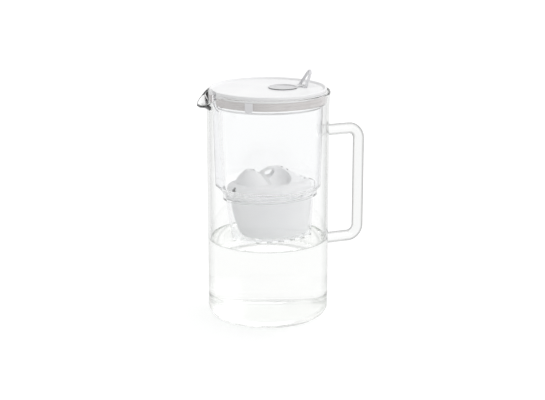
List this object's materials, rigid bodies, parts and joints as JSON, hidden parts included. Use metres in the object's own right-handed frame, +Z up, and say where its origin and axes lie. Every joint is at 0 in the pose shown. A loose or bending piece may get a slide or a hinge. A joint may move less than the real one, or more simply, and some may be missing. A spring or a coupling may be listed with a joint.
{
  "type": "water filter pitcher with flip lid",
  "caption": "Straight glass jug with a drooping lip and rod handle, holding a clear hopper with an oval filter cartridge under a lid with a flip cap.",
  "frame": {"origin": "centre of the base on the jug's axis, on the surface it stands on", "axes": "+Z up, the handle along +X, the pouring lip along -X"},
  "size_m": [0.1907, 0.1322, 0.2651],
  "materials": {
    "glass": "polished clear borosilicate glass",
    "hopper": "clear moulded plastic",
    "gasket": "matt grey silicone",
    "tab": "pale silicone",
    "lid": "frosted white plastic",
    "cap": "frosted white plastic",
    "cap_seal": "dark elastomer",
    "loop": "translucent grey plastic",
    "pin": "plain steel",
    "cartridge": "satin white plastic",
    "cartridge_seal": "pale elastomer",
    "felt": "white felt",
    "carbon": "black granules",
    "resin": "amber beads"
  },
  "bodies": {
    "jug": {"jug_body": "glass", "jug_handle": "glass"},
    "hopper": {"hopper_shell": "hopper", "rim_gasket": "gasket", "gasket_tab": "tab"},
    "cartridge": {"cartridge_cup": "cartridge", "cartridge_cap": "cartridge", "cartridge_seal": "cartridge_seal", "inlet_screen": "felt", "carbon_bed": "carbon", "bed_divider": "felt", "resin_bed": "resin", "outlet_screen": "felt"},
    "lid": {"lid_plate": "lid", "hinge_pin": "pin"},
    "flip_cap": {"flip_cap": "cap", "flip_cap_seal": "cap_seal", "lift_loop": "loop"}
  },
  "joints": [
    {"name": "hopper_lift", "type": "slide", "parent": "jug", "child": "hopper", "axis": [0, 0, 1], "range_m": [0, 0.165]},
    {"name": "cartridge_lift", "type": "slide", "parent": "hopper", "child": "cartridge", "axis": [0, 0, 1], "range_m": [0, 0.16]},
    {"name": "lid_lift", "type": "slide", "parent": "cartridge", "child": "lid", "axis": [0, 0, 1], "range_m": [0, 0.06]},
    {"name": "flip_cap_hinge", "type": "hinge", "parent": "lid", "child": "flip_cap", "pos_m": [0.039, 0, 0.2459], "axis": [0, 1, 0], "range_deg": [0, 45]}
  ]
}
